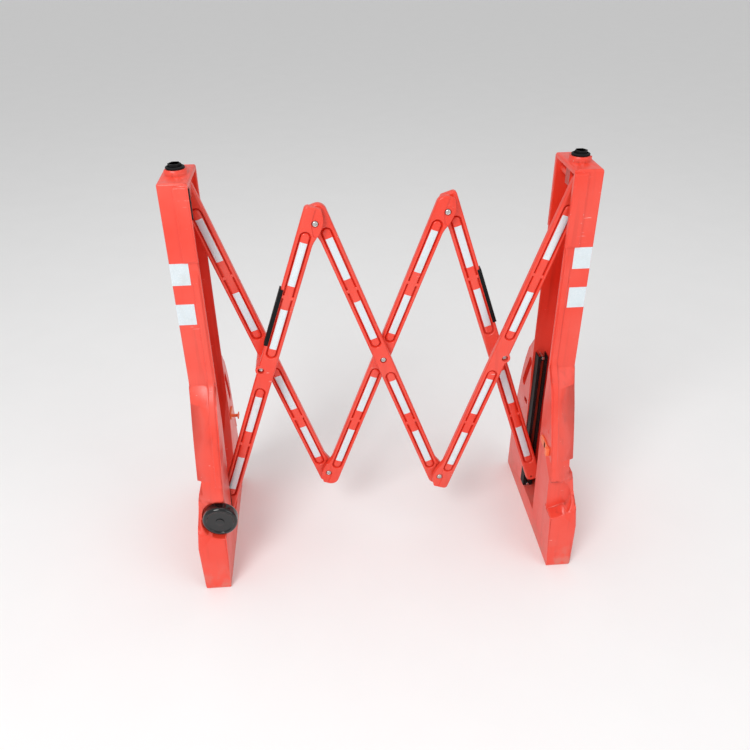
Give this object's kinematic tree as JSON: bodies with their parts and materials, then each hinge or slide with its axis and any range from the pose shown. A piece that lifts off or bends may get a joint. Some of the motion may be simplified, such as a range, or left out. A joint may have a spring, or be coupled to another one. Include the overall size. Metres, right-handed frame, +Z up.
{
  "type": "expanding lattice barricade",
  "caption": "Free-standing expanding barricade: red plastic lattice of hinged bars between two hollow end posts on splayed feet, with reflective strips, one wheel and lamp sockets.",
  "frame": {"origin": "on the floor under the middle of the barricade", "axes": "+X along the span toward the right post, -Y toward the front (wheel side), +Z up"},
  "size_m": [0.9, 0.41, 0.963],
  "materials": {
    "red_plastic": "moulded red-orange polyethylene, satin gloss",
    "white_sheeting": "white retroreflective sheeting",
    "zinc_steel": "zinc-plated",
    "black_steel": "black coated sheet steel",
    "black_plastic": "black moulded",
    "wheel_black": "glossy black moulded",
    "orange_plastic": "orange moulded"
  },
  "bodies": {
    "post_left": {"post_left": "red_plastic", "bands_left": "white_sheeting", "hinge_plate_left": "black_steel", "hinge_bolt_left": "zinc_steel", "hinge_sleeves_left": "red_plastic", "guide_rail_left": "black_steel", "rail_screws_left": "zinc_steel", "wheel_axle": "zinc_steel"},
    "cap_left": {"cap_left": "black_plastic"},
    "latch_left": {"latch_left": "orange_plastic", "latch_collar_left": "black_plastic"},
    "post_right": {"post_right": "red_plastic", "bands_right": "white_sheeting", "hinge_plate_right": "black_steel", "hinge_bolt_right": "zinc_steel", "hinge_sleeves_right": "red_plastic", "guide_rail_right": "black_steel", "rail_screws_right": "zinc_steel"},
    "cap_right": {"cap_right": "black_plastic"},
    "latch_right": {"latch_right": "orange_plastic", "latch_collar_right": "black_plastic"},
    "wheel": {"wheel": "wheel_black"},
    "bar_back_left": {"bar_back_left": "red_plastic", "strips_back_left": "white_sheeting"},
    "bar_front_left": {"bar_front_left": "red_plastic", "strips_front_left": "white_sheeting", "edge_strip_front_left": "black_plastic", "bolts_front_left": "zinc_steel", "washers_front_left": "zinc_steel", "slide_pin_left": "zinc_steel"},
    "bar_back_middle": {"bar_back_middle": "red_plastic", "strips_back_middle": "white_sheeting", "bolts_back_middle": "zinc_steel", "washers_back_middle": "zinc_steel"},
    "bar_front_middle": {"bar_front_middle": "red_plastic", "strips_front_middle": "white_sheeting", "bolts_front_middle": "zinc_steel", "washers_front_middle": "zinc_steel"},
    "bar_back_right": {"bar_back_right": "red_plastic", "strips_back_right": "white_sheeting", "edge_strip_back_right": "black_plastic", "slide_pin_right": "zinc_steel"},
    "bar_front_right": {"bar_front_right": "red_plastic", "strips_front_right": "white_sheeting", "bolts_front_right": "zinc_steel", "washers_front_right": "zinc_steel"}
  },
  "joints": [
    {"name": "lattice_fold", "type": "hinge", "parent": "post_left", "child": "bar_back_left", "pos_m": [-0.39301, -0.01, 0.911], "axis": [0, 1, 0], "range_deg": [-40, 19]},
    {"name": "left_hub", "type": "hinge", "parent": "bar_back_left", "child": "bar_front_left", "pos_m": [-0.27624, -0.01, 0.50756], "axis": [0, 1, 0], "range_deg": [-38, 80]},
    {"name": "lower_left_pivot", "type": "hinge", "parent": "bar_back_left", "child": "bar_back_middle", "pos_m": [-0.13812, -0.01, 0.17078], "axis": [0, 1, 0], "range_deg": [-38, 80]},
    {"name": "middle_hub", "type": "hinge", "parent": "bar_back_middle", "child": "bar_front_middle", "pos_m": [0, -0.01, 0.50756], "axis": [0, 1, 0], "range_deg": [-80, 38]},
    {"name": "upper_right_pivot", "type": "hinge", "parent": "bar_back_middle", "child": "bar_back_right", "pos_m": [0.13812, -0.01, 0.84433], "axis": [0, 1, 0], "range_deg": [-80, 38]},
    {"name": "right_hub", "type": "hinge", "parent": "bar_back_right", "child": "bar_front_right", "pos_m": [0.27624, -0.01, 0.50756], "axis": [0, 1, 0], "range_deg": [-38, 80]},
    {"name": "right_post_pivot", "type": "hinge", "parent": "bar_front_right", "child": "post_right", "pos_m": [0.39301, -0.01, 0.911], "axis": [0, 1, 0], "range_deg": [-40, 19]},
    {"name": "wheel_spin", "type": "hinge", "parent": "post_left", "child": "wheel", "pos_m": [-0.39151, -0.172, 0.19], "axis": [0, 1, 0], "continuous": true},
    {"name": "cap_left_lift", "type": "slide", "parent": "post_left", "child": "cap_left", "axis": [0, 0, 1], "range_m": [0, 0.0115]},
    {"name": "cap_right_lift", "type": "slide", "parent": "post_right", "child": "cap_right", "axis": [0, 0, 1], "range_m": [0, 0.0115]},
    {"name": "latch_left_turn", "type": "hinge", "parent": "post_left", "child": "latch_left", "pos_m": [-0.378, 0.084, 0.3], "axis": [1, 0, 0], "range_deg": [-90, 0]},
    {"name": "latch_right_turn", "type": "hinge", "parent": "post_right", "child": "latch_right", "pos_m": [0.378, -0.084, 0.3], "axis": [1, 0, 0], "range_deg": [0, 90]}
  ],
  "couplings": [
    {"joint": "left_hub", "follows": "lattice_fold", "ratio": -2},
    {"joint": "lower_left_pivot", "follows": "lattice_fold", "ratio": -2},
    {"joint": "middle_hub", "follows": "lattice_fold", "ratio": 2},
    {"joint": "upper_right_pivot", "follows": "lattice_fold", "ratio": 2},
    {"joint": "right_hub", "follows": "lattice_fold", "ratio": -2},
    {"joint": "right_post_pivot", "follows": "lattice_fold", "ratio": 1}
  ]
}
